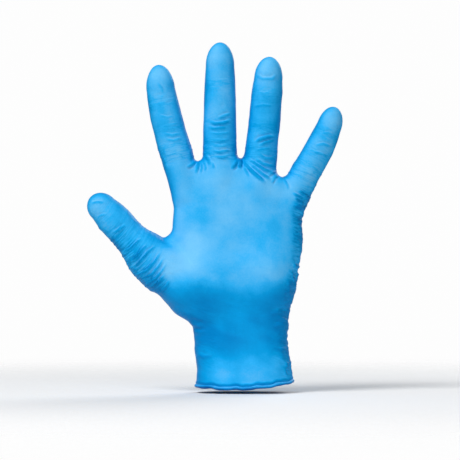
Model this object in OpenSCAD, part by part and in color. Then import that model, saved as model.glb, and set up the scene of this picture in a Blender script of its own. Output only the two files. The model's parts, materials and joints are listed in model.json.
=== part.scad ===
// Disposable nitrile glove in its worn shape: open hand, palm towards -Y, fingertips up.
// The glove is one thin film. It is divided here at the creases where it bends, so that
// every zone is a hollow shell. Each zone starts in an open ball that turns inside the end
// of the zone before it, and that end is notched on the palm side to let the next one fold.
// The origin is the centre of the cuff's mouth. A lean turns a finger from +Z towards +X.

/* [Film] */
// Wall thickness of every zone, a stiff stand-in for the thin film
wall = 0.4; // [0.3:0.05:0.6]
// Clearance between two zones that turn against each other
gap = 0.3; // [0.25:0.05:0.5]
// Half-angle of the passage at the bottom of each joint ball
passage_angle = 42; // [35:1:48]

/* [Bending limits] */
// How far a finger folds at its root, in degrees
root_flex = 75; // [60:1:80]
// How far a finger folds at its middle joint, in degrees
middle_flex = 80; // [60:1:90]
// How far a finger's tip folds, in degrees
tip_flex = 40; // [30:1:60]
// How far the thumb folds at its root, in degrees
thumb_fold = 40; // [30:1:50]
// How far the thumb's tip folds, in degrees
thumb_tip_flex = 65; // [50:1:75]
// How far the cuff turns at the wrist, each way, in degrees
wrist_flex = 45; // [30:1:50]

/* [Index finger] */
// Sideways place of the root joint
index_x = -45.3; // [-48:0.1:-43]
// Height of the root joint
index_z = 154.5; // [150:0.5:158]
// Lean away from upright
index_lean = -12.2; // [-16:0.1:-8]
// Radius at the root joint
index_r = 10.9; // [10:0.1:11.2]
// Length from the root joint to the middle joint
index_base_len = 18.5; // [17:0.5:22]
// Length from the middle joint to the tip joint
index_middle_len = 19.5; // [17:0.5:22]
// Length from the tip joint to the end
index_tip_len = 22.9; // [20:0.1:25]

/* [Middle finger] */
// Sideways place of the root joint
middle_x = -16.8; // [-18:0.1:-16]
// Height of the root joint
middle_z = 155.5; // [151:0.5:159]
// Lean away from upright
middle_lean = 0; // [-2:0.1:2]
// Radius at the root joint
middle_r = 10.9; // [10:0.1:11.2]
// Length from the root joint to the middle joint
middle_base_len = 22; // [20:0.5:25]
// Length from the middle joint to the tip joint
middle_middle_len = 25; // [22:0.5:28]
// Length from the tip joint to the end
middle_tip_len = 26.9; // [24:0.1:29]

/* [Ring finger] */
// Sideways place of the root joint
ring_x = 9.9; // [9:0.1:11]
// Height of the root joint
ring_z = 152; // [148:0.5:155]
// Lean away from upright
ring_lean = 5.6; // [3:0.1:8]
// Radius at the root joint
ring_r = 10.7; // [10:0.1:11]
// Length from the root joint to the middle joint
ring_base_len = 20.5; // [19:0.5:23]
// Length from the middle joint to the tip joint
ring_middle_len = 22.5; // [20:0.5:25]
// Length from the tip joint to the end
ring_tip_len = 25.3; // [23:0.1:27]

/* [Little finger] */
// Sideways place of the root joint
little_x = 39.4; // [38:0.1:41]
// Height of the root joint
little_z = 141.8; // [139:0.1:144]
// Lean away from upright
little_lean = 25.6; // [20:0.1:28]
// Radius at the root joint
little_r = 9.9; // [9:0.1:10.2]
// Length from the root joint to the middle joint
little_base_len = 16.5; // [15:0.5:18]
// Length from the middle joint to the tip joint
little_middle_len = 14.5; // [13:0.5:16]
// Length from the tip joint to the end
little_tip_len = 18; // [16:0.1:20]

/* [Thumb] */
// Sideways place of the root joint
thumb_x = -64; // [-66:0.1:-62]
// Height of the root joint
thumb_z = 88; // [86:0.5:90]
// Lean away from upright
thumb_lean = -43; // [-46:0.5:-40]
// Radius at the root joint
thumb_r = 12.6; // [11.5:0.1:13]
// Length from the root joint to the tip joint
thumb_base_len = 23; // [21:0.5:25]
// Length from the tip joint to the end
thumb_tip_len = 30; // [27:0.5:32]

/* [Palm] */
// Height of the row of knuckles
knuckle_z = 129; // [126:0.5:132]
// Radius of the palm's edges at the knuckles, half of the palm's thickness there
knuckle_r = 12.9; // [12.5:0.1:13.5]
// Sideways place of the knuckle next to the thumb
knuckle_left_x = -36.2; // [-38:0.1:-34]
// Sideways place of the outer knuckle
knuckle_right_x = 29.6; // [28:0.1:31]
// Height of the heel of the hand
heel_z = 67; // [64:0.5:70]
// Radius of the heel, half of the palm's thickness there
heel_r = 16.5; // [15.5:0.1:17.5]
// Sideways place of the heel on the thumb's side
heel_left_x = -38; // [-40:0.5:-36]
// Sideways place of the heel on the outer side
heel_right_x = 18; // [16:0.5:20]

/* [Cuff] */
// Width of the cuff's mouth
cuff_w = 62.4; // [60:0.1:66]
// Depth of the cuff's mouth, front to back
cuff_d = 42; // [38:0.5:46]
// Height of the wrist hinge
wrist_z = 36; // [34:0.5:38]
// Sideways place of the wrist hinge
wrist_x = -2.2; // [-3:0.1:0]
// Diameter of the rolled bead at the mouth
bead_d = 2.2; // [1.6:0.1:2.6]

/* [Hidden] */

film = [0.27, 0.71, 0.96];
rolled = [0.13, 0.52, 0.86];

// A finger is [x, z, lean, radius, base length, middle length, tip length]
index = [index_x, index_z, index_lean, index_r, index_base_len, index_middle_len, index_tip_len];
middle = [middle_x, middle_z, middle_lean, middle_r, middle_base_len, middle_middle_len, middle_tip_len];
ring = [ring_x, ring_z, ring_lean, ring_r, ring_base_len, ring_middle_len, ring_tip_len];
little = [little_x, little_z, little_lean, little_r, little_base_len, little_middle_len, little_tip_len];
thumb = [thumb_x, thumb_z, thumb_lean, thumb_r, thumb_base_len, 0, thumb_tip_len];
fingers = [index, middle, ring, little];

step = wall + gap;             // each zone's ball is this much slimmer than the zone before it
taper = 0.3;                   // a zone loses this much radius between its two joints
tip_taper = 1;                 // a tip zone loses this much radius before its dome
thumb_tip_taper = 2.2;
notch_front = 2;               // the palm-side notches start this far in front of the joint's axis
stub_r_extra = 2 * step;       // from a finger's radius to the outside of its socket in the palm
far = 60;                      // longer than any cut needs
arc_steps = 9;
hull_fn = 28;

cuff_r = cuff_d / 2;
cuff_half = cuff_w / 2 - cuff_r;    // from the middle of the oval to the centre of each round end
wrist_ball_r = cuff_r - step;
bead_flat_z = 0.85 * bead_d;        // the cuff's wall stands on the bead's flattened top

// Points of an arc about the joint's centre; 0 degrees is straight down, 90 is the equator
function arc(r, from, to) =
    [for (i = [0:arc_steps]) let (a = from + (to - from) * i / arc_steps) [r * sin(a), -r * cos(a)]];

// How far below the next joint the palm-side wall has to end, for a zone of radius r that
// folds by the given angle over a wall whose inside is wall_r from the axis
function notch_depth(r, wall_r, angle) = (r + gap - wall_r * cos(angle)) / sin(angle) + gap;

// Radius of each zone's ball along a finger
function middle_ball(f) = f[3] - taper - step;
function tip_ball(f) = f[5] == 0 ? middle_ball(f) : middle_ball(f) - step;

module at_root(f) {
    translate([f[0], 0, f[1]]) rotate([0, f[2], 0]) children();
}

// The space in front of a joint, from depth below its centre upwards
module palm_side_cut(depth, half_width = far) {
    translate([-half_width, -far, -depth]) cube([2 * half_width, far - notch_front, far]);
}

// A ball that is open at the bottom, running into a tapered tube that is open at the top
module open_zone(ball_r, top_r, len) {
    rotate_extrude()
        polygon(concat(
            arc(ball_r, passage_angle, 90),
            [[top_r, len], [top_r - wall, len]],
            arc(ball_r - wall, 90, passage_angle)));
}

// The same, closed by a round dome
module closed_zone(ball_r, end_r, len) {
    centre = len - end_r;
    rotate_extrude()
        polygon(concat(
            arc(ball_r, passage_angle, 90),
            [for (p = arc(end_r, 90, 180)) [max(p[0], 0), p[1] + centre]],
            [for (p = arc(end_r - wall, 180, 90)) [max(p[0], 0), p[1] + centre]],
            arc(ball_r - wall, 90, passage_angle)));
}

// The saddle between the palm and a finger: it turns sideways and the finger folds in it
module root_saddle(f) {
    r = f[3] + gap;
    color(film) at_root(f)
        difference() {
            rotate_extrude()
                polygon(concat(arc(r + wall, passage_angle, 90), arc(r, 90, passage_angle)));
            palm_side_cut(far / 2);
        }
}

module base_zone(f, next_flex) {
    top_r = f[3] - taper;
    len = f[4];
    color(film) at_root(f)
        difference() {
            open_zone(f[3], top_r, len);
            translate([0, 0, len])
                palm_side_cut(notch_depth(top_r - step, top_r - wall, next_flex));
        }
}

module middle_zone(f) {
    r = middle_ball(f);
    color(film) at_root(f) translate([0, 0, f[4]])
        difference() {
            open_zone(r, r, f[5]);
            translate([0, 0, f[5]])
                palm_side_cut(notch_depth(r - step, r - wall, tip_flex));
        }
}

module tip_zone(f, narrowing) {
    color(film) at_root(f) translate([0, 0, f[4] + f[5]])
        closed_zone(tip_ball(f), tip_ball(f) - narrowing, f[6]);
}

// A ball of the palm's hulls, drawn slimmer by inset for the hollow inside
module palm_ball(x, z, r, inset) {
    translate([x, 0, z]) sphere(r - inset, $fn = hull_fn);
}

module heel_balls(inset) {
    palm_ball(heel_left_x, heel_z, heel_r, inset);
    palm_ball(heel_right_x, heel_z, heel_r, inset);
}

// The flat end of a socket, where the palm meets the saddle; the hollow runs on through it
module socket_end(f, inset) {
    at_root(f) translate([0, 0, -1]) cylinder(r = f[3] + stub_r_extra - inset, h = 1 + inset, $fn = 2 * hull_fn);
}

// Opens the palm-side wall of a socket far enough down for the finger to fold over it
module socket_cut(f, angle) {
    socket_r = f[3] + stub_r_extra;
    at_root(f) palm_side_cut(notch_depth(f[3], socket_r - wall, angle), socket_r + wall);
}

module oval_prism(r, half, h) {
    hull() {
        translate([-half, 0, 0]) cylinder(r = r, h = h, $fn = 2 * hull_fn);
        translate([half, 0, 0]) cylinder(r = r, h = h, $fn = 2 * hull_fn);
    }
}

// The palm's outside, or with an inset of one wall, its hollow
module palm_form(inset) {
    neck_z = wrist_z + (wrist_ball_r + gap) * tan(wrist_flex / 2) + 2 * gap;
    // flat of the hand
    hull() {
        palm_ball(knuckle_left_x, knuckle_z, knuckle_r, inset);
        palm_ball(knuckle_right_x, knuckle_z, knuckle_r, inset);
        heel_balls(inset);
    }
    // sockets of the four fingers, rising from a row of knuckles spread evenly across the palm
    for (i = [0:3])
        hull() {
            palm_ball(knuckle_left_x + (knuckle_right_x - knuckle_left_x) * i / 3, knuckle_z, knuckle_r, inset);
            socket_end(fingers[i], inset);
        }
    // ball of the thumb and its socket
    hull() {
        palm_ball(heel_left_x, heel_z, heel_r, inset);
        palm_ball(heel_left_x + heel_r / 2, heel_z + heel_r, heel_r, inset);
        socket_end(thumb, inset);
    }
    // neck that runs down over the cuff's ball
    hull() {
        heel_balls(inset);
        translate([wrist_x, 0, neck_z - inset]) oval_prism(cuff_r - inset, cuff_half, wall);
    }
}

module palm() {
    color(film)
        difference() {
            palm_form(0);
            palm_form(wall);
            for (f = fingers) socket_cut(f, root_flex);
            socket_cut(thumb, thumb_fold);
        }
}

// Half of a sausage-shaped shell on the wrist's hinge line, with the hand's passage through its top
module wrist_ball() {
    passage_r = wrist_ball_r * sin(passage_angle);
    translate([wrist_x, 0, wrist_z])
        difference() {
            hull() for (s = [-1, 1]) translate([s * cuff_half, 0, 0]) sphere(wrist_ball_r, $fn = 2 * hull_fn);
            hull() for (s = [-1, 1]) translate([s * cuff_half, 0, 0]) sphere(wrist_ball_r - wall, $fn = 2 * hull_fn);
            oval_prism(passage_r, cuff_half, far);
            translate([-far, -far, -far]) cube([2 * far, 2 * far, far]);
        }
}

module cuff_form(inset) {
    hull() {
        translate([wrist_x, 0, wrist_z]) oval_prism(wrist_ball_r - inset, cuff_half, 0.01 + inset);
        translate([0, 0, bead_flat_z - inset]) oval_prism(cuff_r - inset, cuff_half, 0.01);
    }
}

module cuff() {
    color(film) {
        wrist_ball();
        difference() {
            cuff_form(0);
            cuff_form(wall);
        }
    }
}

module cuff_bead() {
    path_r = cuff_r - wall / 2;
    color(rolled)
        difference() {
            translate([0, 0, bead_d / 2]) {
                for (s = [-1, 1]) {
                    translate([s * cuff_half, 0, 0])
                        rotate([0, 0, -s * 90]) rotate_extrude(angle = 180)
                            translate([path_r, 0]) circle(d = bead_d, $fn = hull_fn);
                    translate([-cuff_half, s * path_r, 0])
                        rotate([0, 90, 0]) cylinder(d = bead_d, h = 2 * cuff_half, $fn = hull_fn);
                }
            }
            translate([-far, -far, bead_flat_z]) cube([2 * far, 2 * far, bead_d]);
        }
}

palm();
cuff();
cuff_bead();

root_saddle(thumb);  // thumb_root
base_zone(thumb, thumb_tip_flex);  // thumb_base
tip_zone(thumb, thumb_tip_taper);  // thumb_tip

root_saddle(index);  // index_root
base_zone(index, middle_flex);  // index_base
middle_zone(index);  // index_middle
tip_zone(index, tip_taper);  // index_tip

root_saddle(middle);  // middle_root
base_zone(middle, middle_flex);  // middle_base
middle_zone(middle);  // middle_middle
tip_zone(middle, tip_taper);  // middle_tip

root_saddle(ring);  // ring_root
base_zone(ring, middle_flex);  // ring_base
middle_zone(ring);  // ring_middle
tip_zone(ring, tip_taper);  // ring_tip

root_saddle(little);  // little_root
base_zone(little, middle_flex);  // little_base
middle_zone(little);  // little_middle
tip_zone(little, tip_taper);  // little_tip
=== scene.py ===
import json
import math

import bmesh
import bpy
import numpy as np
import openvdb
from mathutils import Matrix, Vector


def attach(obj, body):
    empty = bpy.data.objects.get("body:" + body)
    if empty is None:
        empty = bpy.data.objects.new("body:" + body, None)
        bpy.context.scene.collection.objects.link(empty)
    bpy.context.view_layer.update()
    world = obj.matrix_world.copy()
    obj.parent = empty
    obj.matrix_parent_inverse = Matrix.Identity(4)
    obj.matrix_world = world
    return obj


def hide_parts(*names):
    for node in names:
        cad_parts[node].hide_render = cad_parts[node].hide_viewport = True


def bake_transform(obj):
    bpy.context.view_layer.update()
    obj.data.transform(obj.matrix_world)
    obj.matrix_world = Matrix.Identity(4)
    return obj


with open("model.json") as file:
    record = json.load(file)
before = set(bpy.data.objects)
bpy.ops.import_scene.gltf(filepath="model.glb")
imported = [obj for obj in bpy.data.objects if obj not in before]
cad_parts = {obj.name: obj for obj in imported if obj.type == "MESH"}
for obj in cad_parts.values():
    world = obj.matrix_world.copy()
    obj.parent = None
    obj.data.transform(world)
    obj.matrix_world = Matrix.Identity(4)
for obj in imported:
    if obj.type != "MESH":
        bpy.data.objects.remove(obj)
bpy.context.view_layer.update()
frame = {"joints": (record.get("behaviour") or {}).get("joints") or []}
joints = {joint["name"]: joint for joint in frame["joints"]}
mm = 0.001  # shapes are worked out in millimetres, and turned into metres when a mesh is made


# camera and stage

cameraSettings = dict(aim=(-0.0096, 0, 0.1051), distance=2.2, frameWidth=0.3059)


def makeCamera(settings):
    data = bpy.data.cameras.new("camera")
    data.sensor_width = 36
    data.lens = 36 * settings["distance"] / settings["frameWidth"]
    data.clip_end = 50
    camera = bpy.data.objects.new("camera", data)
    bpy.context.scene.collection.objects.link(camera)
    x, y, z = settings["aim"]
    camera.location = (x, y - settings["distance"], z)
    camera.rotation_euler = (math.radians(90), 0, 0)
    bpy.context.scene.camera = camera


makeCamera(cameraSettings)

lightSettings = {
    "keyLight": dict(place=(-0.8, -0.9, 1.5), size=0.7, watts=23),
    "frontFill": dict(place=(0.35, -1.8, 0.7), size=1.4, watts=8.5),
    "backFill": dict(place=(0.9, 1.5, 1.1), size=1.2, watts=17),
}


def makeLights(settings):
    middle = Vector((-0.01, 0, 0.11))
    for name, row in settings.items():
        data = bpy.data.lights.new(name, "AREA")
        data.size = row["size"]
        data.energy = row["watts"]
        lamp = bpy.data.objects.new(name, data)
        bpy.context.scene.collection.objects.link(lamp)
        lamp.location = row["place"]
        lamp.rotation_euler = (middle - lamp.location).to_track_quat("-Z", "Y").to_euler()


makeLights(lightSettings)

stageSettings = dict(floorBelow=0.003, floorRadius=0.66, floorColour=(0.9, 0.905, 0.91), glow=0.26)


def makeStage(settings):  # the pale floor fades out towards its rim, into a white surround
    world = bpy.data.worlds.new("studio")
    bpy.context.scene.world = world
    world.use_nodes = True
    nodes, links = world.node_tree.nodes, world.node_tree.links
    nodes.clear()
    output = nodes.new("ShaderNodeOutputWorld")
    mix = nodes.new("ShaderNodeMixShader")
    lit = nodes.new("ShaderNodeBackground")
    seen = nodes.new("ShaderNodeBackground")
    path = nodes.new("ShaderNodeLightPath")
    lit.inputs["Color"].default_value = (0.93, 0.96, 1, 1)
    lit.inputs["Strength"].default_value = settings["glow"]
    seen.inputs["Color"].default_value = (0.985, 0.985, 0.985, 1)
    links.new(path.outputs["Is Camera Ray"], mix.inputs["Fac"])
    links.new(lit.outputs["Background"], mix.inputs[1])
    links.new(seen.outputs["Background"], mix.inputs[2])
    links.new(mix.outputs["Shader"], output.inputs["Surface"])

    shape = bmesh.new()
    bmesh.ops.create_circle(shape, cap_ends=True, segments=96, radius=settings["floorRadius"])
    mesh = bpy.data.meshes.new("floor")
    shape.to_mesh(mesh)
    shape.free()
    floor = bpy.data.objects.new("floor", mesh)
    bpy.context.scene.collection.objects.link(floor)
    floor.location.z = -settings["floorBelow"]
    paint = bpy.data.materials.new("floorPaint")
    paint.use_nodes = True
    nodes, links = paint.node_tree.nodes, paint.node_tree.links
    shader = nodes["Principled BSDF"]
    shader.inputs["Base Color"].default_value = (*settings["floorColour"], 1)
    shader.inputs["Roughness"].default_value = 0.9
    place = nodes.new("ShaderNodeTexCoord")
    length = nodes.new("ShaderNodeVectorMath")
    length.operation = "LENGTH"
    fade = nodes.new("ShaderNodeMapRange")
    fade.interpolation_type = "SMOOTHERSTEP"
    fade.inputs["From Min"].default_value = settings["floorRadius"] * 0.2
    fade.inputs["From Max"].default_value = settings["floorRadius"]
    fade.inputs["To Min"].default_value = 1
    fade.inputs["To Max"].default_value = 0
    links.new(place.outputs["Object"], length.inputs[0])
    links.new(length.outputs["Value"], fade.inputs["Value"])
    links.new(fade.outputs["Result"], shader.inputs["Alpha"])
    mesh.materials.append(paint)
    bpy.context.scene.view_settings.view_transform = "Standard"


makeStage(stageSettings)
print("camera, lights and floor are in")


# helpers for shapes


def smoothMin(a, b, blend):
    h = np.clip(0.5 + 0.5 * (b - a) / blend, 0, 1)
    return b + (a - b) * h - blend * h * (1 - h)


def smoothMax(a, b, blend):
    return -smoothMin(-a, -b, blend)


def smoothStep(low, high, value):
    t = np.clip((value - low) / (high - low), 0, 1)
    return t * t * (3 - 2 * t)


def bell(value, width):
    return np.exp(-(value / width) ** 2)


def through(at, rows, column=1):  # a smooth curve through one column of a list of stations
    xs = np.array([row[0] for row in rows], float)
    ys = np.array([row[column] for row in rows], float)
    slopes = np.gradient(ys, xs)
    i = np.clip(np.searchsorted(xs, at) - 1, 0, len(xs) - 2)
    gap = xs[i + 1] - xs[i]
    t = np.clip((at - xs[i]) / gap, 0, 1)
    return (ys[i] * (1 + 2 * t) * (1 - t) ** 2 + slopes[i] * gap * t * (1 - t) ** 2
            + ys[i + 1] * t * t * (3 - 2 * t) + slopes[i + 1] * gap * t * t * (t - 1))


def cloud(points, size, seed):  # smooth noise from -1 to 1; size is one length or one for each axis
    p = points / np.array(size, float) + seed * 17.31
    cell = np.floor(p).astype(np.int64)
    f = p - cell
    f = f * f * f * (f * (f * 6 - 15) + 10)
    total = 0
    for dx in (0, 1):
        for dy in (0, 1):
            for dz in (0, 1):
                n = (cell[:, 0] + dx) * 374761393 + (cell[:, 1] + dy) * 668265263
                n = n + (cell[:, 2] + dz) * 2147483647 + seed * 1274126177
                n = ((n ^ (n >> 13)) * 1274126177) & 0xFFFFFFFF
                n = ((n ^ (n >> 16)) * 668265263) & 0xFFFFFFFF
                value = n / 0x7FFFFFFF - 1
                wx = f[:, 0] if dx else 1 - f[:, 0]
                wy = f[:, 1] if dy else 1 - f[:, 1]
                wz = f[:, 2] if dz else 1 - f[:, 2]
                total = total + value * wx * wy * wz
    return total


# the glove's form, in millimetres; a finger's stations are (distance from its root joint, radius)

fingerSettings = {
    "index": dict(
        stations=[(-27, 8.6), (-20, 9.0), (-13, 9.5), (-4, 10.4), (5, 10.7), (15, 10.3), (26, 10.3),
                  (36, 9.8), (45, 9.2)],
        domeFrom=46, end=61.3, bow=1.7, aside=0.5, depth=0.95),
    "middle": dict(
        stations=[(-27, 11.5), (-14, 11.4), (-3, 11.1), (6, 10.8), (18, 10.7), (30, 10.5), (42, 10.1),
                  (58, 9.2)],
        domeFrom=59, end=74, bow=0, aside=0.5, depth=0.95),
    "ring": dict(
        stations=[(-27, 11.5), (-14, 11.4), (-3, 11.0), (6, 10.6), (17, 10.3), (29, 10.1), (42, 9.9),
                  (53, 9.1)],
        domeFrom=54, end=68.5, bow=0.3, aside=0.6, depth=0.95),
    "little": dict(
        stations=[(-24, 10.4), (-12, 10.2), (-3, 10.0), (5, 9.8), (14, 9.4), (22, 9.2), (29, 8.6),
                  (36, 7.9)],
        domeFrom=37, end=49.5, bow=1.5, aside=0.3, depth=0.95),
    "thumb": dict(
        stations=[(-8, 13.2), (0, 12.8), (8, 11.9), (20, 10.9), (28, 11.0), (36, 10.6), (43, 9.4)],
        domeFrom=43.5, end=54.4, bow=-0.6, aside=-0.9, depth=1.0),
}

# the palm and the cuff: height, left edge, right edge, depth in front, depth behind
palmSections = [
    (-10, -31.4, 32.2, 20.5, 20.5),
    (4, -31.6, 31.9, 20.6, 20.6),
    (14, -31.2, 30.8, 19.8, 20),
    (26, -32.8, 29.2, 17.6, 18.6),
    (37, -33.4, 29, 15.6, 17.2),
    (43, -35.2, 28.9, 15.2, 16.6),
    (50, -45, 29.3, 15.5, 16.2),
    (60, -45, 32.6, 17.8, 15.8),
    (70, -45, 34.6, 19.6, 15.4),
    (80, -45, 36.2, 19.8, 15),
    (92, -46.6, 38, 17, 14.2),
    (106, -47.6, 38.3, 14.8, 13.4),
    (120, -46.6, 38.6, 13.4, 12.6),
    (132, -46, 42.5, 12.2, 11.6),
    (142, -47, 44, 10.4, 10.2),
    (152, -47, 44, 8.2, 8.2),
]
webLine = [(-58, 141), (-44, 148), (-31, 150.4), (-17, 153.6), (-3, 152), (11, 148), (24.5, 140.2),
           (37, 138.5), (50, 130)]  # across the palm, and the height where it ends between the fingers
thumbBall = [(-22, 56, 15), (-37, 67.5, 16.9), (-51, 79, 15.4), (-63, 87.8, 13.1)]  # x, height, radius
thumbWeb = [(-43, 91, 6.5), (-45.6, 96.3, 6.4)]


def jointPlace(name):
    return np.array(joints[name]["pos_m"]) / mm


def fingerFrame(name):
    fold = joints[name + ("_fold" if name == "thumb" else "_flex")]
    side = np.array(fold["axis"], float)
    return jointPlace(fold["name"]), np.cross(side, (0, 1, 0)), side


fingerFrames = {name: fingerFrame(name) for name in fingerSettings}


def alongFinger(points, name):  # distance along the finger from its root joint, sideways and in depth
    root, along, side = fingerFrames[name]
    bow = fingerSettings[name]["bow"] * (-1 if along[0] < 0 else 1)
    offset = points - root
    s = offset @ along
    reach = np.clip(s / fingerSettings[name]["end"], 0, 1)
    return s, offset @ side - fingerSettings[name]["aside"] - bow * np.sin(math.pi * reach), offset[:, 1]


def fingerField(points, name):
    row = fingerSettings[name]
    s, across, deep = alongFinger(points, name)
    out = np.hypot(across, deep / row["depth"])
    first, last = row["stations"][0], row["stations"][-1]
    radius = through(s, row["stations"])
    dome = np.hypot(out, np.maximum(s - row["domeFrom"], 0) * last[1] / (row["end"] - row["domeFrom"]))
    field = np.where(s > row["domeFrom"], dome - last[1], out - radius)
    below = np.hypot(out, np.minimum(s - first[0], 0)) - first[1]
    return np.where(s < first[0], below, field)


def ballField(points, a, b):  # a cone between two balls
    start, end = np.array((a[0], 0, a[1])), np.array((b[0], 0, b[1]))
    line = end - start
    t = np.clip((points - start) @ line / (line @ line), 0, 1)
    return np.linalg.norm(points - start - t[:, None] * line, axis=1) - (a[2] + (b[2] - a[2]) * t)


def palmField(points):
    x, y, z = points.T
    left, right = through(z, palmSections, 1), through(z, palmSections, 2)
    depth = np.where(y < 0, through(z, palmSections, 3), through(z, palmSections, 4))
    half = (right - left) / 2
    power = 2.3
    u, v = np.abs(x - (left + right) / 2) / half, np.abs(y) / depth
    ring = np.maximum((u ** power + v ** power) ** (1 / power), 1e-4)
    slope = np.hypot((u / ring) ** (power - 1) / half, (v / ring) ** (power - 1) / depth)
    field = (ring - 1) / np.maximum(slope, 0.02)
    return smoothMax(field, (z - through(x, webLine)) * 0.9, 5)


def gloveField(points):
    field = palmField(points)
    for a, b in zip(thumbBall, thumbBall[1:]):
        field = smoothMin(field, ballField(points, a, b), 5)
    for name in fingerSettings:
        field = smoothMin(field, fingerField(points, name), 9 if name == "thumb" else 4)
    field = smoothMin(field, ballField(points, *thumbWeb), 5)
    x, y, z = points.T
    front, back = smoothStep(-2, -12, y), smoothStep(2, 10, y)
    field -= front * 2.6 * bell(x + 33, 19) * bell(z - 74, 20)    # ball of the thumb
    field -= front * 1.6 * bell(x - 20, 14) * bell(z - 76, 24)    # heel below the little finger
    field += front * 1.8 * bell(x + 4, 16) * bell(z - 92, 20)     # hollow of the palm
    for name in ("index", "middle", "ring", "little"):
        s, across, _ = alongFinger(points, name)
        field -= front * 0.9 * bell(across, 8) * bell(s + 15, 8)  # pad below the finger
        field -= back * 1.7 * bell(across, 8) * bell(s + 20, 9)   # knuckle
    return field


def fieldSlope(points, step=0.05):
    slope = np.empty_like(points)
    for axis in range(3):
        shift = np.zeros(3)
        shift[axis] = step
        slope[:, axis] = (gloveField(points + shift) - gloveField(points - shift)) / (2 * step)
    return slope


formSettings = dict(cell=1.48, low=(-112, -27, -8), high=(70, 27, 236))


def formMesh(settings):  # a coarse skin over the field, subdivided once and drawn onto it exactly
    cell = settings["cell"]
    axes = [np.arange(a, b, cell) for a, b in zip(settings["low"], settings["high"])]
    grid = np.stack(np.meshgrid(*axes, indexing="ij"), -1)
    values = np.clip(gloveField(grid.reshape(-1, 3)), -6, 6).reshape(grid.shape[:3]).astype(np.float32)
    volume = openvdb.FloatGrid(6.0)
    volume.copyFromArray(values)
    corners, quads = volume.convertToQuads(isovalue=0.0)
    mesh = bpy.data.meshes.new("form")
    mesh.from_pydata((corners * cell + np.array(settings["low"])).tolist(), [], quads[:, ::-1].tolist())
    form = bpy.data.objects.new("form", mesh)
    bpy.context.scene.collection.objects.link(form)
    smooth = form.modifiers.new("smooth", "SMOOTH")
    smooth.iterations = 2
    form.modifiers.new("subdivide", "SUBSURF").levels = 1
    fine = bpy.data.meshes.new_from_object(form.evaluated_get(bpy.context.evaluated_depsgraph_get()))
    bpy.data.objects.remove(form)
    points = meshPoints(fine)
    for _ in range(3):
        slope = fieldSlope(points)
        points -= (gloveField(points) / np.maximum((slope ** 2).sum(1), 0.2))[:, None] * slope
    fine.vertices.foreach_set("co", points.ravel())
    return fine


def meshPoints(mesh):
    points = np.empty(len(mesh.vertices) * 3, np.float32)
    mesh.vertices.foreach_get("co", points)
    return points.reshape(-1, 3).astype(float)


def meshNormals(mesh):
    normals = np.empty(len(mesh.vertices) * 3, np.float32)
    mesh.vertex_normals.foreach_get("vector", normals)
    return normals.reshape(-1, 3).astype(float)


# folds in the film, in millimetres: sideways place and height of each point of a fold's valley


foldGain = 1.5  # every row of frontFolds is drawn this much deeper than it says


def crease(points, path, width, height, side=-1):  # a valley with a ridge on its left, fading at both ends
    path = np.array(path, float)
    low, high = path.min(0) - 4 * width, path.max(0) + 4 * width
    near = np.flatnonzero((points[:, 0] > low[0]) & (points[:, 0] < high[0]) & (points[:, 2] > low[1])
                          & (points[:, 2] < high[1]) & (points[:, 1] * side > 0.5))
    flat = points[near][:, (0, 2)]
    steps = path[1:] - path[:-1]
    lengths = np.linalg.norm(steps, axis=1)
    best = np.full(len(near), 1e9)
    signed, along = np.zeros(len(near)), np.zeros(len(near))
    for i, (start, step, length) in enumerate(zip(path, steps, lengths)):
        t = np.clip((flat - start) @ step / length ** 2, 0, 1)
        off = flat - start - t[:, None] * step
        reach = np.hypot(off[:, 0], off[:, 1])
        closer = reach < best
        best[closer] = reach[closer]
        turn = step[0] * off[:, 1] - step[1] * off[:, 0]
        signed[closer] = (reach * np.sign(turn))[closer]
        along[closer] = ((lengths[:i].sum() + t * length) / lengths.sum())[closer]
    fade = smoothStep(0, 0.3, along) * smoothStep(1, 0.7, along)
    result = np.zeros(len(points))
    result[near] = height * fade * (0.8 * bell(signed - 1.5 * width, width) - bell(signed, width))
    return result


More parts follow.
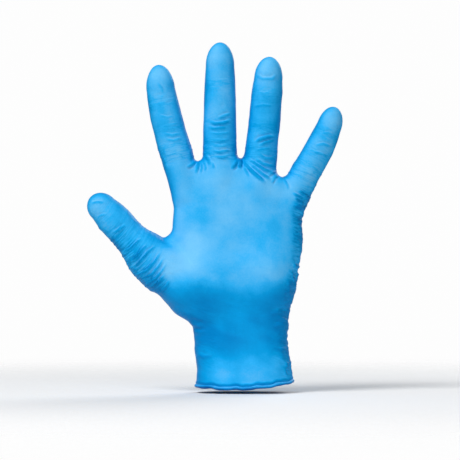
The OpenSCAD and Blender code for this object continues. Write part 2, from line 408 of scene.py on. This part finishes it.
# each row: width, height, then the fold's points
frontFolds = [
    # middle finger: creases at its middle joint and the wavy skin below it
    (0.9, 0.65, [(-23.5, 177.3), (-19, 175.6), (-14, 175.9), (-9, 178)]),
    (0.7, 0.5, [(-24, 173.4), (-20, 172.4), (-15, 173), (-11, 173.2)]),
    (0.8, 0.4, [(-18, 179), (-14.5, 180.3), (-9, 182.5)]),
    (0.7, 0.3, [(-24, 169.5), (-17, 168.6), (-9, 169.6)]),
    (0.6, 0.25, [(-22, 165), (-15, 164.3), (-10, 165.4)]),
    (0.8, 0.45, [(-22.5, 158.2), (-17, 156.6), (-12, 157.6), (-8.5, 157)]),
    (0.8, 0.4, [(-20, 153.8), (-15, 153), (-10, 154.2)]),
    (0.7, 0.3, [(-22, 161.5), (-16, 160.6), (-10, 161.4)]),
    (0.9, 0.5, [(-25.5, 155), (-23.5, 151), (-22, 147.5)]),
    (0.7, 0.35, [(-22.3, 152), (-20.5, 148), (-19.8, 145)]),
    # ring finger
    (1.0, 0.7, [(6.5, 162.5), (10.5, 165.3), (15, 166.6), (20.5, 167)]),
    (0.8, 0.6, [(9.5, 160.8), (13.5, 163), (20.3, 165)]),
    (0.6, 0.3, [(6, 157.5), (12, 158.6), (19, 159.8)]),
    (0.7, 0.3, [(6, 186.5), (12, 187.8), (19, 187)]),
    (0.9, 0.35, [(7.5, 208.5), (12, 205.3), (18, 205.2), (21.6, 208.5)]),
    (1.0, 0.5, [(7, 152.5), (11.5, 148.8), (16.5, 147.6), (21.5, 148.6)]),
    (0.8, 0.45, [(9.5, 155.2), (14, 152.4), (20.5, 152.6)]),
    # between the middle and ring fingers
    (1.1, 0.9, [(-2.8, 152.5), (-2.6, 149.6), (-3.2, 145.4)]),
    (1.0, 0.7, [(-4.3, 151.2), (-6.4, 147.8), (-9, 145)]),
    (1.1, 0.95, [(-1.6, 150.6), (3.5, 145.6), (9, 140.4), (14.6, 135.6)]),
    (1.0, 0.8, [(-0.4, 151.4), (5.5, 147), (11.5, 142), (18.5, 137.5)]),
    (0.9, 0.7, [(1, 152.6), (7, 149), (13, 145), (20, 142.6)]),
    (0.8, 0.45, [(-0.8, 147.6), (1.5, 143.5), (3.5, 139.5)]),
    # between the index and middle fingers
    (0.9, 0.55, [(-30, 150.3), (-30.8, 146.5), (-32.3, 142)]),
    (0.8, 0.45, [(-28.6, 150), (-28.2, 146), (-29.4, 142)]),
    (0.9, 0.5, [(-31.6, 151), (-35, 148), (-39, 146.2)]),
    (0.7, 0.3, [(-26.8, 150.6), (-25.5, 146.5), (-25.8, 143.5)]),
    # between the ring and little fingers
    (0.8, 0.4, [(22.6, 141.6), (19.5, 138.8), (17.5, 135.4)]),
    (0.7, 0.35, [(21.5, 144), (17.5, 142.4), (14, 139.8)]),
    (0.8, 0.35, [(26, 138.6), (28.5, 134.5), (29.3, 131)]),
    # outer side below the little finger
    (0.8, 0.6, [(31.2, 130), (35, 127.7), (39.5, 124.6)]),
    (0.7, 0.5, [(32.6, 127), (36, 124.8), (39.4, 122)]),
    (0.7, 0.45, [(35.5, 131.5), (39.5, 129), (43, 126.5)]),
    (0.8, 0.4, [(33.5, 122), (37, 120.2), (40, 118)]),
    (0.7, 0.35, [(33.6, 112.5), (36.5, 111.6), (39, 110.6)]),
    (0.8, 0.5, [(31.5, 82.6), (34.6, 81.6), (38, 80.2)]),
    # index finger
    (0.7, 0.35, [(-52.6, 165.4), (-47, 164.3), (-41.5, 166)]),
    (0.7, 0.3, [(-53.5, 169), (-48, 167.8), (-42, 169)]),
    (0.6, 0.25, [(-57, 181), (-51, 179.6), (-46.5, 181)]),
    (0.9, 0.18, [(-58.4, 203.5), (-55, 199.5), (-53.6, 194.5)]),
    # little finger
    (0.7, 0.4, [(46.5, 161), (52, 162.2), (57.5, 160.2)]),
    (0.7, 0.3, [(44.5, 156), (49.5, 156.4), (55.6, 153.4)]),
    (0.6, 0.25, [(50, 168.6), (55.5, 169.6), (60, 167.6)]),
    # thumb: near its tip, then the fan that runs from the lower edge towards the index finger
    (0.7, 0.45, [(-101.5, 122.6), (-97.5, 123.4), (-93, 123)]),
    (0.6, 0.35, [(-97.6, 113), (-94.6, 115), (-91, 115.6)]),
    (0.8, 0.4, [(-88, 103), (-83.5, 105), (-78.5, 109)]),
    (0.62, 0.6, [(-80.5, 90.5), (-75.5, 92.6), (-71, 97), (-67.5, 99.4)]),
    (0.62, 0.75, [(-76.8, 84), (-71.5, 87), (-67.6, 92), (-63.5, 95.6)]),
    (0.62, 0.8, [(-73.8, 79.6), (-68.6, 84.6), (-64, 90.4), (-57.6, 95)]),
    (0.62, 0.75, [(-70.5, 75.4), (-64, 78.6), (-59, 84.4), (-54.6, 91.4)]),
    (0.62, 0.7, [(-68.5, 72), (-61.5, 75.6), (-56.6, 81), (-52.6, 88)]),
    (0.62, 0.65, [(-65, 69), (-58.6, 73), (-54, 78.8), (-51, 84)]),
    (0.8, 0.5, [(-61.6, 66), (-56, 71), (-52.2, 77)]),
    (0.8, 0.4, [(-57, 63), (-51.6, 67.6), (-48.5, 73)]),
    # wrist and cuff
    (1.4, 0.5, [(-37, 45.5), (-32, 42.4), (-26, 41.8)]),
    (1.2, 0.35, [(-34, 38.6), (-29, 37.2), (-24, 38)]),
    (1.3, 0.4, [(16, 49.6), (22.6, 51), (29, 49)]),
    (1.2, 0.4, [(18, 41), (24, 42.6), (29, 41)]),
    (1.2, 0.35, [(17, 27.5), (23, 25.6), (29, 27)]),
    (1.2, 0.35, [(-31, 22.5), (-26, 21), (-20, 21.8)]),
]
backFolds = [
    (1.2, 0.4, [(-37, 46.5), (-20, 42.4), (-4, 43.2)]),
    (1.2, 0.4, [(2, 40), (16, 42.6), (28, 44)]),
    (1.3, 0.35, [(-28, 36), (-10, 33.6), (8, 35)]),
    (1.2, 0.35, [(-10, 27.5), (10, 25.6), (28, 28)]),
    (1.0, 0.5, [(-57.5, 98.5), (-52, 90), (-50, 82)]),
    (0.9, 0.45, [(-54.5, 100), (-49, 92.6), (-46, 86)]),
    (0.9, 0.4, [(-60, 96), (-57, 88), (-56.5, 80)]),
    (0.9, 0.5, [(-30.5, 150.4), (-30, 145), (-31, 138)]),
    (0.9, 0.5, [(-3, 151.6), (-3.4, 146), (-2.6, 139)]),
    (0.9, 0.45, [(24, 140), (23, 134.5), (21, 128.5)]),
    (0.8, 0.4, [(-0.6, 151), (2.5, 146), (4, 141)]),
    (0.8, 0.4, [(-28, 150.6), (-25.5, 146), (-24.6, 141)]),
]


def fingerCreases(points, seed):  # short folds across each finger, closer together over its joints
    random = np.random.default_rng(seed)
    total = np.zeros(len(points))
    for name in fingerSettings:
        root, along, side = fingerFrames[name]
        knuckles = [other for other in joints if other in (name + "_middle_flex", name + "_tip_flex")]
        knuckles = [float((jointPlace(other) - root) @ along) for other in knuckles]
        for facing, spread, share in ((-1, 4, 0.17), (1, 3.2, 0.42)):
            for knuckle in knuckles:
                for _ in range(7 if facing > 0 else 5):
                    s = knuckle + random.uniform(-spread, spread)
                    middle = random.uniform(-3, 3)
                    half = random.uniform(2.5, 5.5)
                    sag = random.uniform(-0.9, 0.9)
                    path = [root + along * (s + bend) + side * across for across, bend in
                            ((middle - half, sag), (middle, 0), (middle + half, sag))]
                    total += crease(points, [(p[0], p[2]) for p in path], random.uniform(0.55, 0.8),
                                    share * random.uniform(0.6, 1.2), facing)
    return total


def gathered(points, size, seed):  # soft ridges with sharp valleys between them
    return 0.7 - 1.7 * (1 - np.abs(cloud(points, size, seed))) ** 4


def ruffles(points):  # crowded folds where slack film gathers: outer edge, thumb, finger roots, wrist
    x, y, z = points.T
    right = through(z, palmSections, 2)
    slanted = np.stack((x, y, z + 0.35 * x), 1)
    fold = gathered(slanted, (12, 8, 3.6), 3)
    fine = gathered(slanted, (9, 7, 2.4), 4)
    uneven = smoothStep(-0.5, 0.6, cloud(points, (30, 30, 9), 5))
    outer = smoothStep(right - 9, right - 3, x) * smoothStep(2, 12, z) * smoothStep(137, 127, z)
    total = outer * (0.45 + 0.55 * uneven) * (0.55 * fold + 0.45 * fine)
    total += outer * 0.7 * cloud(points, (20, 20, 11), 6)

    s, across, deep = alongFinger(points, "thumb")
    local = np.stack((s - 0.14 * across - 0.017 * across ** 2, across, deep), 1)
    beside = smoothStep(19, 15, np.hypot(across, deep))
    lower = beside * smoothStep(-3.5, -10, across) * smoothStep(-26, -16, s) * smoothStep(47, 38, s)
    total += lower * (0.32 * gathered(local, (3.2, 26, 14), 7) + 0.22 * cloud(local, (5, 14, 9), 8))
    ball = smoothStep(-4, -12, across) * smoothStep(-48, -34, s) * smoothStep(-14, -24, s)
    total += ball * 0.4 * cloud(local, (6, 14, 14), 9)
    top = beside * smoothStep(4, 9, across) * smoothStep(4, 12, s) * smoothStep(40, 28, s)
    total += top * 0.2 * gathered(local, (4.4, 12, 9), 10)

    for seed, name in enumerate(("index", "middle", "ring", "little")):
        s, across, deep = alongFinger(points, name)
        local = np.stack((s, across, deep), 1)
        inside = (np.hypot(across, deep) < 14) * smoothStep(-9, -3, s)
        root = inside * smoothStep(12, 3, s)
        total += root * 0.2 * gathered(local, (4, 11, 9), 20 + seed)
        total += inside * 0.1 * cloud(local, (3.5, 5, 5), 30 + seed)
        total += inside * 0.22 * cloud(local, (12, 9, 9), 40 + seed)
    wrist = smoothStep(66, 52, z) * smoothStep(3, 12, z) * (x > -60)
    total += wrist * (0.32 * cloud(slanted, (20, 24, 11), 11) + 0.2 * cloud(slanted, (16, 16, 4.2), 12))
    palm = smoothStep(56, 72, z) * smoothStep(150, 132, z)
    total += palm * (0.16 * cloud(points, (16, 16, 12), 13) + 0.05 * cloud(points, (6, 6, 5), 14))
    return total


def relief(points):  # what the hand inside shows: nails, the tendons behind, a bump on the middle finger
    x, y, z = points.T
    back = smoothStep(1, 7, y)
    total = 0.35 * bell(x + 14.2, 1.5) * bell(z - 187.6, 1.7) * (y < 0)
    for name in fingerSettings:
        s, across, _ = alongFinger(points, name)
        end = fingerSettings[name]["end"]
        width = 6.6 if name == "thumb" else 4.8
        nail = smoothStep(end - 17, end - 15, s) * smoothStep(end - 3.5, end - 5.5, s)
        nail = nail * smoothStep(width + 0.9, width - 0.9, np.abs(across))
        total += 0.45 * nail * back
        if name != "thumb":
            total += back * 0.7 * bell(across, 3) * smoothStep(-24, -40, s) * smoothStep(-75, -50, s)
    return total


def grooveDepth(points):  # the film dips just above its rolled edge
    rise = points[:, 2] - mouthHeight(points[:, 0], points[:, 1])
    return -0.55 * bell(rise - 2.2, 0.9) * (1 + 0.5 * cloud(points, (7, 7, 7), 60))


foldLimits = dict(deepest=-1.5, highest=1.0)


def drawFolds(mesh):  # moves the form's points along their normals, and keeps where the film is slack
    points, normals = meshPoints(mesh), meshNormals(mesh)
    height = relief(points) + ruffles(points) + fingerCreases(points, 5) + grooveDepth(points)
    for width, size, path in frontFolds:
        height += crease(points, path, width, foldGain * size)
    for width, size, path in backFolds:
        height += crease(points, path, width, size, 1)
    height = np.clip(height, foldLimits["deepest"], foldLimits["highest"])
    mesh.vertices.foreach_set("co", (points + normals * height[:, None]).ravel())
    mesh.attributes.new("fold", "FLOAT", "POINT").data.foreach_set("value", height)
    mesh.update()


# the mouth of the cuff hangs a little lower in its middle, and rises more steeply on the outer side
mouthSettings = dict(lowest=0.6, rise=4.4, outerShare=0.9, innerShare=0.6, middle=-6, half=36, wave=0.35)


def mouthHeight(x, y):
    row = mouthSettings
    share = np.where(x > row["middle"], row["outerShare"], row["innerShare"])
    edge = row["lowest"] + row["rise"] * ((x - row["middle"]) / row["half"]) ** 2 * share
    return edge + row["wave"] * (np.sin(x * 0.42 + y * 0.1) + 0.6 * np.sin(x * 0.9 + 1.3 + y * 0.35))


def trimMouth(mesh):
    points = meshPoints(mesh)
    lift = mouthHeight(points[:, 0], points[:, 1])
    points[:, 2] -= lift
    mesh.vertices.foreach_set("co", points.ravel())
    mesh.update()
    shape = bmesh.new()
    shape.from_mesh(mesh)
    low = [face for face in shape.faces if face.calc_center_median().z < 4]  # the rest can't reach the cut
    parts = list({item for face in low for item in (*face.verts, *face.edges)}) + low
    bmesh.ops.bisect_plane(shape, geom=parts, plane_co=(0, 0, 0), plane_no=(0, 0, -1), clear_outer=True)
    rim = [edge for edge in shape.edges if edge.verts[0].co.z < 0.5]
    bmesh.ops.dissolve_degenerate(shape, edges=rim, dist=0.02)
    shape.to_mesh(mesh)
    shape.free()
    points = meshPoints(mesh)
    points[:, 2] += mouthHeight(points[:, 0], points[:, 1])
    mesh.vertices.foreach_set("co", points.ravel())
    mesh.update()


form = formMesh(formSettings)
print("form:", len(form.vertices), "points")
drawFolds(form)
trimMouth(form)
points = meshPoints(form)
print("folds are drawn; box", points.min(0).round(1), points.max(0).round(1))


# materials

# Ramp colours are lit and shaded copies of one film colour: deep and shaded are painted shade, usual is the
# plain film, and the palest stop is a painted sheen.
filmSettings = dict(deep=(0.0, 0.22, 0.56), shaded=(0.001, 0.345, 0.76), usual=(0.025, 0.44, 0.90),
                    paintedSheen=(0.17, 0.57, 0.94), clouds=42, roughness=0.42, shine=0.04, bump=0.3)
beadSettings = dict(deep=(0.0, 0.08, 0.30), shaded=(0.0, 0.21, 0.56), usual=(0.0, 0.32, 0.76),
                    paintedSheen=(0.06, 0.46, 0.90), clouds=130, roughness=0.34, shine=0.12, bump=0.3)


def newGroup(name, inputs, outputs):
    group = bpy.data.node_groups.new(name, "ShaderNodeTree")
    for way, sockets in (("INPUT", inputs), ("OUTPUT", outputs)):
        for label, kind in sockets.items():
            group.interface.new_socket(label, in_out=way, socket_type="NodeSocket" + kind)
    return group, group.nodes.new("NodeGroupInput"), group.nodes.new("NodeGroupOutput")


def addNoise(tree, vector, scale, detail, roughness=0.5):
    noise = tree.nodes.new("ShaderNodeTexNoise")
    noise.inputs["Detail"].default_value = detail
    noise.inputs["Roughness"].default_value = roughness
    tree.links.new(vector, noise.inputs["Vector"])
    if isinstance(scale, (int, float)):
        noise.inputs["Scale"].default_value = scale
    else:
        tree.links.new(scale, noise.inputs["Scale"])
    return noise.outputs["Fac"]


def addMath(tree, kind, a, b=0.0):
    node = tree.nodes.new("ShaderNodeMath")
    node.operation = kind
    for socket, value in zip(node.inputs, (a, b)):
        if isinstance(value, (int, float)):
            socket.default_value = value
        else:
            tree.links.new(value, socket)
    return node.outputs[0]


def addRange(tree, value, low, high, newLow, newHigh):
    node = tree.nodes.new("ShaderNodeMapRange")
    for label, number in (("From Min", low), ("From Max", high), ("To Min", newLow), ("To Max", newHigh)):
        node.inputs[label].default_value = number
    tree.links.new(value, node.inputs["Value"])
    return node.outputs["Result"]


def makeCloudGroup():  # soft patches where the film is stretched thinner, added to the painted light and shade passed in, with a fine grain
    group, inside, outside = newGroup("filmCloudsAndPaintedLight", dict(Place="Vector", Scale="Float", PaintedLight="Float"),
                                      dict(Mask="Float"))
    patches = addRange(group, addNoise(group, inside.outputs["Place"], inside.outputs["Scale"], 3, 0.5),
                       0.3, 0.7, -0.17, 0.17)
    grain = addRange(group, addNoise(group, inside.outputs["Place"], 900, 2), 0.3, 0.7, -0.035, 0.035)
    mask = addMath(group, "ADD", addMath(group, "ADD", patches, inside.outputs["PaintedLight"]), grain)
    group.links.new(mask, outside.inputs["Mask"])
    return group


def makeLineGroup():  # thin valleys of gathered film, used as bumps and as painted shade in the folds; Folds is in millimetres, its last part across them
    group, inside, outside = newGroup("foldLines", dict(Folds="Vector", Slack="Float"), dict(Valley="Float"))
    wide = addMath(group, "ABSOLUTE", addMath(group, "SUBTRACT", addNoise(
        group, inside.outputs["Folds"], 0.3, 1.5), 0.5))
    thin = addMath(group, "ABSOLUTE", addMath(group, "SUBTRACT", addNoise(
        group, inside.outputs["Folds"], 0.62, 1), 0.52))
    both = addMath(group, "MAXIMUM", addRange(group, wide, 0.0, 0.055, 1, 0),
                   addMath(group, "MULTIPLY", addRange(group, thin, 0.0, 0.07, 1, 0), 0.7))
    group.links.new(addMath(group, "MULTIPLY", both, inside.outputs["Slack"]), outside.inputs["Valley"])
    return group


def makeBumpGroup():  # fine creasing, stretched sideways, that the mesh is too coarse to hold
    group, inside, outside = newGroup("fineCreases", dict(Place="Vector", Valley="Float", Strength="Float"),
                                      dict(Normal="Vector"))
    stretch = group.nodes.new("ShaderNodeMapping")
    stretch.inputs["Scale"].default_value = (0.35, 0.5, 1)
    group.links.new(inside.outputs["Place"], stretch.inputs["Vector"])
    creases = addMath(group, "ABSOLUTE", addMath(group, "SUBTRACT", addNoise(
        group, stretch.outputs["Vector"], 260, 3, 0.6), 0.5))
    grain = addMath(group, "MULTIPLY", addNoise(group, inside.outputs["Place"], 1600, 2), 0.12)
    bump = group.nodes.new("ShaderNodeBump")
    bump.inputs["Distance"].default_value = 0.0006
    valley = addMath(group, "MULTIPLY", inside.outputs["Valley"], 1.5)
    height = addMath(group, "SUBTRACT", addMath(group, "ADD", creases, grain), valley)
    group.links.new(height, bump.inputs["Height"])
    group.links.new(inside.outputs["Strength"], bump.inputs["Strength"])
    group.links.new(bump.outputs["Normal"], outside.inputs["Normal"])
    return group


cloudGroup = makeCloudGroup()
lineGroup = makeLineGroup()
bumpGroup = makeBumpGroup()


def addGroup(tree, group):
    node = tree.nodes.new("ShaderNodeGroup")
    node.node_tree = group
    return node


def filmMaterial(name, row):
    material = bpy.data.materials.new(name)
    material.use_nodes = True
    tree = material.node_tree
    shader = tree.nodes["Principled BSDF"]
    place = tree.nodes.new("ShaderNodeAttribute")
    place.attribute_name = "filmPlace"
    # the per-point painted light and shade, plus random patches, picks a lit or shaded copy of the film
    # colour from the ramp
    paintedLight = tree.nodes.new("ShaderNodeAttribute")
    paintedLight.attribute_name = "filmPaintedLight"
    clouds = addGroup(tree, cloudGroup)
    clouds.inputs["Scale"].default_value = row["clouds"]
    tree.links.new(place.outputs["Vector"], clouds.inputs["Place"])
    tree.links.new(paintedLight.outputs["Fac"], clouds.inputs["PaintedLight"])
    ramp = tree.nodes.new("ShaderNodeValToRGB")
    ramp.color_ramp.elements[0].color = (*row["deep"], 1)
    ramp.color_ramp.elements[1].color = (*row["paintedSheen"], 1)
    ramp.color_ramp.elements.new(0.4).color = (*row["shaded"], 1)
    ramp.color_ramp.elements.new(0.62).color = (*row["usual"], 1)
    folds = tree.nodes.new("ShaderNodeAttribute")
    folds.attribute_name = "filmFolds"
    slack = tree.nodes.new("ShaderNodeAttribute")
    slack.attribute_name = "filmSlack"
    lines = addGroup(tree, lineGroup)
    tree.links.new(folds.outputs["Vector"], lines.inputs["Folds"])
    tree.links.new(slack.outputs["Fac"], lines.inputs["Slack"])
    # painted shade: the fold valleys darken the base colour
    shade = addMath(tree, "MULTIPLY", lines.outputs["Valley"], 0.4)
    tree.links.new(addMath(tree, "SUBTRACT", clouds.outputs["Mask"], shade), ramp.inputs["Fac"])
    tree.links.new(ramp.outputs["Color"], shader.inputs["Base Color"])
    rough = addRange(tree, clouds.outputs["Mask"], 0, 1, row["roughness"] - 0.05, row["roughness"] + 0.06)
    tree.links.new(rough, shader.inputs["Roughness"])
    creases = addGroup(tree, bumpGroup)
    creases.inputs["Strength"].default_value = row["bump"]
    tree.links.new(place.outputs["Vector"], creases.inputs["Place"])
    tree.links.new(lines.outputs["Valley"], creases.inputs["Valley"])
    tree.links.new(creases.outputs["Normal"], shader.inputs["Normal"])
    shader.inputs["Specular IOR Level"].default_value = row["shine"]
    return material


filmPaint = filmMaterial("nitrileFilm", filmSettings)
beadPaint = filmMaterial("rolledBead", beadSettings)


fingerGaps = [(-30.9, 150.3), (-3, 151.5), (24.3, 139.7)]


def filmPaintedLight(points, normals, fold):  # painted light and shade: paler where the surface faces front or back, on the palm and ball of the thumb and towards the fingertips; painted shade at the side edges, outer edge, heel and wrist, lower cuff, groove above the bead, between the fingers and in fold valleys
    x, y, z = points.T
    facing = np.abs(normals[:, 1])
    # painted light where the surface faces front or back, painted shade towards the side edges
    paintedLight = 0.28 + 0.4 * smoothStep(0.1, 0.95, facing)
    # darker on the front of the middle finger around its middle joint
    paintedLight -= 0.1 * (y < 0) * bell(x + 16, 9) * bell(z - 184, 12)
    # painted sheen on the palm where it faces front
    paintedLight += 0.06 * smoothStep(68, 84, z) * smoothStep(150, 128, z) * smoothStep(0.5, 1, facing)
    front = smoothStep(0, -8, y)
    paintedLight += front * 0.17 * bell(x + 45, 14) * bell(z - 80, 14)   # painted highlight on the ball of the thumb
    paintedLight += front * 0.07 * bell(x + 36, 11) * bell(z - 101, 15)  # painted highlight on its web
    right = through(z, palmSections, 2)
    # painted shade along the outer edge below the little finger
    paintedLight -= 0.16 * smoothStep(right - 11, right - 3, x) * smoothStep(84, 100, z) * smoothStep(138, 128, z)
    # painted shade on the heel and wrist below the palm, where the surface turns down
    heel = 70 - 8 * bell(x, 20)
    paintedLight -= smoothStep(14, 34, z) * smoothStep(heel + 9, heel - 9, z) * (0.6 - 0.27 * bell(x + 1, 14))
    # painted shade on the lower cuff, more towards its sides
    paintedLight -= smoothStep(30, 16, z) * (0.04 + 0.1 * (1 - bell(x + 3, 20)))
    for name in fingerSettings:
        s, across, deep = alongFinger(points, name)
        end = fingerSettings[name]["end"]
        # paler towards each fingertip
        paintedLight += 0.12 * smoothStep(end - 17, end - 8, s) * (np.hypot(across, deep) < 14)
    # painted shadow in the groove just above the rolled edge
    paintedLight -= 0.45 * bell(z - mouthHeight(x, y) - 2.0, 0.8)
    # painted shade between the fingers
    for gap in fingerGaps:
        paintedLight -= 0.3 * bell(np.hypot(x - gap[0], z - gap[1]), 5)
    # painted shade in fold valleys and painted highlight on fold ridges
    return np.clip(paintedLight + 0.42 * np.clip(fold, -0.9, 0.35), 0, 1)


def foldPlaces(points):  # each point's place among the gathered folds, and how slack the film is there
    x, y, z = points.T
    places = np.stack((0.16 * x, 0.16 * y, z + 0.35 * x), 1)
    right = through(z, palmSections, 2)
    slack = smoothStep(right - 8, right - 4, x) * smoothStep(3, 12, z) * smoothStep(137, 129, z)
    slack *= 0.35 + 0.65 * smoothStep(86, 98, z)
    wrist = smoothStep(62, 50, z) * smoothStep(8, 18, z) * smoothStep(14, 24, np.abs(x))
    slack = np.maximum(slack, 0.25 * wrist)
    for name in fingerSettings:
        s, across, deep = alongFinger(points, name)
        out = np.hypot(across, deep)
        if name == "thumb":
            mine = smoothStep(19, 15, out) * smoothStep(-30, -20, s) * smoothStep(52, 42, s)
            mine *= 0.25 + 0.75 * smoothStep(3, -3, across) * smoothStep(34, 22, s)
            local = np.stack((0.08 * across, 0.1 * deep, s - 0.14 * across - 0.017 * across ** 2), 1)
        else:
            mine = 0.42 * smoothStep(14, 12.5, out) * smoothStep(-7, -2, s) * smoothStep(13, 7, s)
            local = np.stack((0.16 * across, 0.16 * deep, s), 1)
            for joint in ("middle", "tip"):
                root, along, _ = fingerFrames[name]
                at = (jointPlace(name + "_" + joint + "_flex") - root) @ along
                mine = np.maximum(mine, 0.3 * bell(s - at, 4.5) * (out < 13))
        closer = mine > slack
        places[closer], slack[closer] = local[closer], mine[closer]
    return places, np.clip(slack, 0, 1)


# pieces: each covers a stretch of a finger from start to end along a direction from the finger's root joint;
# a lean of None is the finger's own direction

filmThickness = 0.3
pieceRows = {
    "index": [("root", None, -6.5, -1.5), ("base", None, -1, 10),
              ("middle", None, 10.5, 26.5), ("tip", None, 32, 44)],
    "middle": [("root", None, -4.2, 0.8), ("base", None, 1.3, 14),
               ("middle", None, 14.5, 30), ("tip", None, 41, 53)],
    "ring": [("root", 22.5, -5.4, -0.4), ("base", None, 3.5, 13),
             ("middle", None, 13.5, 28), ("tip", None, 37, 49)],
    "little": [("root", None, -8, -3), ("base", None, -2.5, 8),
               ("middle", None, 9, 23.5), ("tip", None, 25, 36)],
    "thumb": [("root", -60, 0.25, 6.75), ("base", -50, 9.2, 16.4), ("tip", None, 18.5, 31)],
}
wristBlend = dict(start=54, end=18, seam=55)


def pieceDirection(name, lean):
    if lean is None:
        return fingerFrames[name][1]
    return np.array((math.sin(math.radians(lean)), 0, math.cos(math.radians(lean))))


def sortFaces(centres):  # the name of the piece that each face belongs to
    owner = np.where(centres[:, 2] < wristBlend["seam"], "cuff", "palm").astype(object)
    nearest = np.full(len(centres), 1e9)
    for name, rows in pieceRows.items():
        _, across, deep = alongFinger(centres, name)
        aside = np.hypot(across, deep)
        mine = (aside < (20 if name == "thumb" else 14)) & (aside < nearest) & (centres[:, 2] > 60)
        root = fingerFrames[name][0]
        started = mine.copy()
        for step, (part, lean, start, _) in enumerate(rows):
            direction = pieceDirection(name, lean)
            started &= (centres - root) @ direction > start - (0.5 if step == 0 else 0.25)
            owner[started] = name + "_" + part
            if step == 0:
                nearest[started] = aside[started]
    return owner


def makeShell(name, faces, points, normals, extras):  # a closed skin of the film's thickness over some faces
    used = sorted({corner for face in faces for corner in face})
    place = {corner: i for i, corner in enumerate(used)}
    outer = [[place[corner] for corner in face] for face in faces]
    count = len(used)
    inner = [[corner + count for corner in reversed(face)] for face in outer]
    sides = {}
    for face in outer:
        for a, b in zip(face, face[1:] + face[:1]):
            if (b, a) in sides:
                del sides[(b, a)]
            else:
                sides[(a, b)] = True
    rims = [[b, a, a + count, b + count] for a, b in sides]
    top, away = points[used], normals[used]
    both = np.vstack((top, top - away * filmThickness)) * mm
    shell = bpy.data.meshes.new(name)
    shell.from_pydata(both.tolist(), [], outer + inner + rims)
    shell.polygons.foreach_set("use_smooth", [True] * len(shell.polygons))
    shell.attributes.new("filmPlace", "FLOAT_VECTOR", "POINT").data.foreach_set("vector", both.ravel())
    for label, values in extras.items():
        kind, field = ("FLOAT", "value") if values.ndim == 1 else ("FLOAT_VECTOR", "vector")
        values = np.concatenate((values[used], values[used])).ravel()
        shell.attributes.new(label, kind, "POINT").data.foreach_set(field, values)
    shell.normals_split_custom_set_from_vertices(np.vstack((away, -away)).tolist())
    shell.materials.append(filmPaint)
    piece = bpy.data.objects.new(name, shell)
    bpy.context.scene.collection.objects.link(piece)
    return piece


def bendPiece(piece, name, part, lean, start, end):
    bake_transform(piece)


def makeFilm(mesh):
    points, normals = meshPoints(mesh), meshNormals(mesh)
    fold = np.empty(len(points), np.float32)
    mesh.attributes["fold"].data.foreach_get("value", fold)
    places, slack = foldPlaces(points)
    extras = dict(filmPaintedLight=filmPaintedLight(points, normals, fold), filmFolds=places, filmSlack=slack)
    faces = [list(polygon.vertices) for polygon in mesh.polygons]
    centres = np.array([points[face].mean(0) for face in faces])
    owner = sortFaces(centres)
    order = {}
    for face, name in zip(faces, owner):
        order.setdefault(name, []).append(face)
    for name, mine in sorted(order.items()):
        piece = makeShell(name + "Film", mine, points, normals, extras)
        if name == "palm":
            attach(piece, "palm")
        elif name == "cuff":
            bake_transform(piece)
        else:
            finger, part = name.split("_")
            row = next(row for row in pieceRows[finger] if row[0] == part)
            bendPiece(piece, finger, *row)
        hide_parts(name)
        print(name, len(mine), "faces")


makeFilm(form)


# bead

beadShape = dict(radius=1.2, around=16, uneven=0.14, outward=0.45, step=0.9)


def mouthLoop(mesh):  # the film's rim, in order round the mouth
    points = meshPoints(mesh)
    lift = mouthHeight(points[:, 0], points[:, 1])
    rim = points[np.abs(points[:, 2] - lift) < 0.02]
    rim = rim[np.argsort(np.arctan2(rim[:, 1], rim[:, 0]))]
    closed = np.vstack((rim, rim[:1]))
    lengths = np.concatenate(([0], np.cumsum(np.linalg.norm(np.diff(closed, axis=0), axis=1))))
    count = int(lengths[-1] / beadShape["step"])
    at = np.linspace(0, lengths[-1], count, endpoint=False)
    loop = np.stack([np.interp(at, lengths, closed[:, axis]) for axis in range(3)], 1)
    for _ in range(6):
        loop = (np.roll(loop, 1, 0) + 2 * loop + np.roll(loop, -1, 0)) / 4
    return loop


def makeBead(mesh):
    loop = mouthLoop(mesh)
    along = np.roll(loop, -1, 0) - np.roll(loop, 1, 0)
    along /= np.linalg.norm(along, axis=1)[:, None]
    outward = np.cross(along, (0, 0, 1))
    outward /= np.linalg.norm(outward, axis=1)[:, None]
    up = np.cross(outward, along)
    size = beadShape["radius"] * (1 + beadShape["uneven"] * cloud(loop, (5, 5, 5), 50))
    turn = np.linspace(0, 2 * math.pi, beadShape["around"], endpoint=False)
    loop = loop + outward * beadShape["outward"]
    ring = loop[:, None] + size[:, None, None] * (np.cos(turn)[None, :, None] * outward[:, None]
                                                  + np.sin(turn)[None, :, None] * up[:, None])
    count, around = len(loop), len(turn)
    corner = np.arange(count * around).reshape(count, around)
    right, below = np.roll(corner, -1, 0), np.roll(corner, -1, 1)
    faces = np.stack((corner, below, np.roll(right, -1, 1), right), -1).reshape(-1, 4)
    bead = bpy.data.meshes.new("cuffBeadRoll")
    places = ring.reshape(-1, 3) * mm
    bead.from_pydata(places.tolist(), [], faces.tolist())
    bead.polygons.foreach_set("use_smooth", [True] * len(bead.polygons))
    bead.attributes.new("filmPlace", "FLOAT_VECTOR", "POINT").data.foreach_set("vector", places.ravel())
    # painted light on the top of the bead and painted shade on its underside, with random variation along it
    paintedLight = (0.5 + 0.2 * cloud(loop, (9, 9, 9), 51)[:, None] + 0.6 * np.sin(turn - 0.2)[None]).ravel()
    bead.attributes.new("filmPaintedLight", "FLOAT", "POINT").data.foreach_set("value", paintedLight)
    bead.materials.append(beadPaint)
    piece = bpy.data.objects.new("cuffBeadRoll", bead)
    bpy.context.scene.collection.objects.link(piece)
    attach(piece, "cuff")
    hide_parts("cuff_bead")


makeBead(form)
bpy.data.meshes.remove(form)
print("bead is on")
